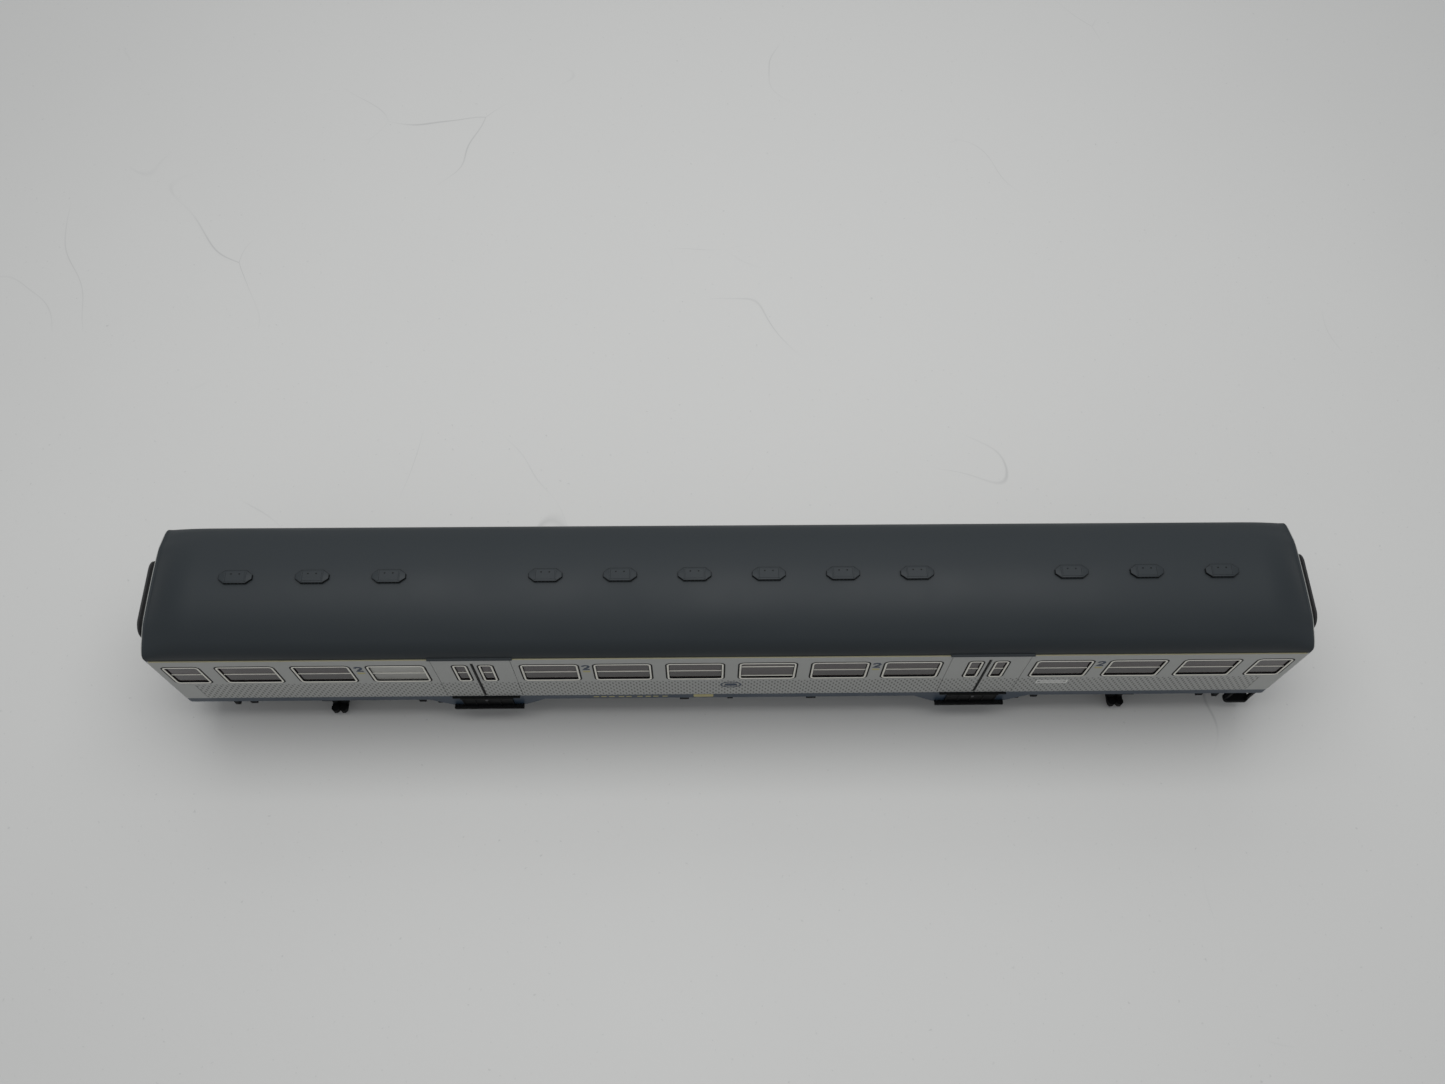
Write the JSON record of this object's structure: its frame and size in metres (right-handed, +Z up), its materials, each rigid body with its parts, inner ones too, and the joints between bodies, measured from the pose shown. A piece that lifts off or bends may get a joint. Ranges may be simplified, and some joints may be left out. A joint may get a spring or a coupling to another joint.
{
  "type": "model passenger coach",
  "caption": "H0 model railway passenger coach with arched dark roof, silver window sides, blue-grey sole bars, swivelling bogies, turning wheelsets, gangways and loop couplers.",
  "frame": {"origin": "bottom centre, on the plane that the wheel flanges stand on, below the middle of the coach", "axes": "+X along the coach towards the end with the shunter's steps, +Y across the coach, +Z up"},
  "size_m": [0.2776, 0.0348, 0.0486],
  "materials": {
    "side_silver": "satin silver-painted plastic",
    "roof_grey": "matt dark grey plastic",
    "sole_bar_blue": "satin blue-grey painted plastic",
    "black_plastic": "matt black moulded plastic",
    "bellows_black": "matt black moulded plastic",
    "clear_glazing": "clear gloss polystyrene",
    "seat_brown": "plain brown moulded plastic",
    "wheel_steel": "nickel-plated turned steel",
    "blackened_steel": "chemically blackened steel",
    "plain_steel": "plain zinc-plated steel",
    "lamp_red": "gloss red lens"
  },
  "bodies": {
    "coach": {"body_shell": "side_silver", "roof": "roof_grey", "glazing_front": "clear_glazing", "glazing_rear": "clear_glazing", "interior": "seat_brown", "ballast_plate": "plain_steel", "underframe": "sole_bar_blue", "door_step_front_a": "black_plastic", "door_step_front_b": "black_plastic", "door_step_rear_a": "black_plastic", "door_step_rear_b": "black_plastic", "corner_step_rear": "black_plastic", "corner_step_front": "black_plastic", "battery_box_rear": "black_plastic", "battery_box_front": "black_plastic", "air_tank_front": "black_plastic", "air_tank_rear": "black_plastic", "brake_cylinder": "black_plastic", "brake_rigging": "black_plastic", "side_pipe": "black_plastic", "pivot_screw_a": "plain_steel", "gangway_bellows_a": "bellows_black", "gangway_door_a": "side_silver", "gangway_plate_a": "blackened_steel", "buffer_a_l": "black_plastic", "tail_lamp_a_l": "lamp_red", "buffer_a_r": "black_plastic", "tail_lamp_a_r": "lamp_red", "pivot_screw_b": "plain_steel", "gangway_bellows_b": "bellows_black", "gangway_door_b": "side_silver", "gangway_plate_b": "blackened_steel", "buffer_b_l": "black_plastic", "tail_lamp_b_l": "lamp_red", "buffer_b_r": "black_plastic", "tail_lamp_b_r": "lamp_red"},
    "bogie_a": {"bogie_frame_a": "black_plastic"},
    "wheelset_a1": {"axle_a1": "blackened_steel", "wheel_a1_l": "wheel_steel", "wheel_a1_r": "wheel_steel"},
    "wheelset_a2": {"axle_a2": "blackened_steel", "wheel_a2_l": "wheel_steel", "wheel_a2_r": "wheel_steel"},
    "coupler_a": {"coupler_pocket_a": "black_plastic", "coupler_head_a": "black_plastic"},
    "bail_a": {"coupler_bail_a": "blackened_steel"},
    "bogie_b": {"bogie_frame_b": "black_plastic"},
    "wheelset_b1": {"axle_b1": "blackened_steel", "wheel_b1_l": "wheel_steel", "wheel_b1_r": "wheel_steel"},
    "wheelset_b2": {"axle_b2": "blackened_steel", "wheel_b2_l": "wheel_steel", "wheel_b2_r": "wheel_steel"},
    "coupler_b": {"coupler_pocket_b": "black_plastic", "coupler_head_b": "black_plastic"},
    "bail_b": {"coupler_bail_b": "blackened_steel"}
  },
  "joints": [
    {"name": "bogie_a_swivel", "type": "hinge", "parent": "coach", "child": "bogie_a", "pos_m": [-0.096, 0, 0.0128], "axis": [0, 0, 1], "range_deg": [-15, 15]},
    {"name": "wheelset_a1_spin", "type": "hinge", "parent": "bogie_a", "child": "wheelset_a1", "pos_m": [-0.11035, 0, 0.0066], "axis": [0, 1, 0], "continuous": true},
    {"name": "wheelset_a2_spin", "type": "hinge", "parent": "bogie_a", "child": "wheelset_a2", "pos_m": [-0.08165, 0, 0.0066], "axis": [0, 1, 0], "continuous": true},
    {"name": "coupler_a_swing", "type": "hinge", "parent": "bogie_a", "child": "coupler_a", "pos_m": [-0.1208, 0, 0.009], "axis": [0, 0, 1], "range_deg": [-4, 4]},
    {"name": "bail_a_lift", "type": "hinge", "parent": "coupler_a", "child": "bail_a", "pos_m": [-0.1295, 0, 0.0076], "axis": [0, 1, 0], "range_deg": [0, 30]},
    {"name": "bogie_b_swivel", "type": "hinge", "parent": "coach", "child": "bogie_b", "pos_m": [0.096, 0, 0.0128], "axis": [0, 0, 1], "range_deg": [-15, 15]},
    {"name": "wheelset_b1_spin", "type": "hinge", "parent": "bogie_b", "child": "wheelset_b1", "pos_m": [0.11035, 0, 0.0066], "axis": [0, 1, 0], "continuous": true},
    {"name": "wheelset_b2_spin", "type": "hinge", "parent": "bogie_b", "child": "wheelset_b2", "pos_m": [0.08165, 0, 0.0066], "axis": [0, 1, 0], "continuous": true},
    {"name": "coupler_b_swing", "type": "hinge", "parent": "bogie_b", "child": "coupler_b", "pos_m": [0.1208, 0, 0.009], "axis": [0, 0, 1], "range_deg": [-4, 4]},
    {"name": "bail_b_lift", "type": "hinge", "parent": "coupler_b", "child": "bail_b", "pos_m": [0.1295, 0, 0.0076], "axis": [0, -1, 0], "range_deg": [0, 30]}
  ]
}
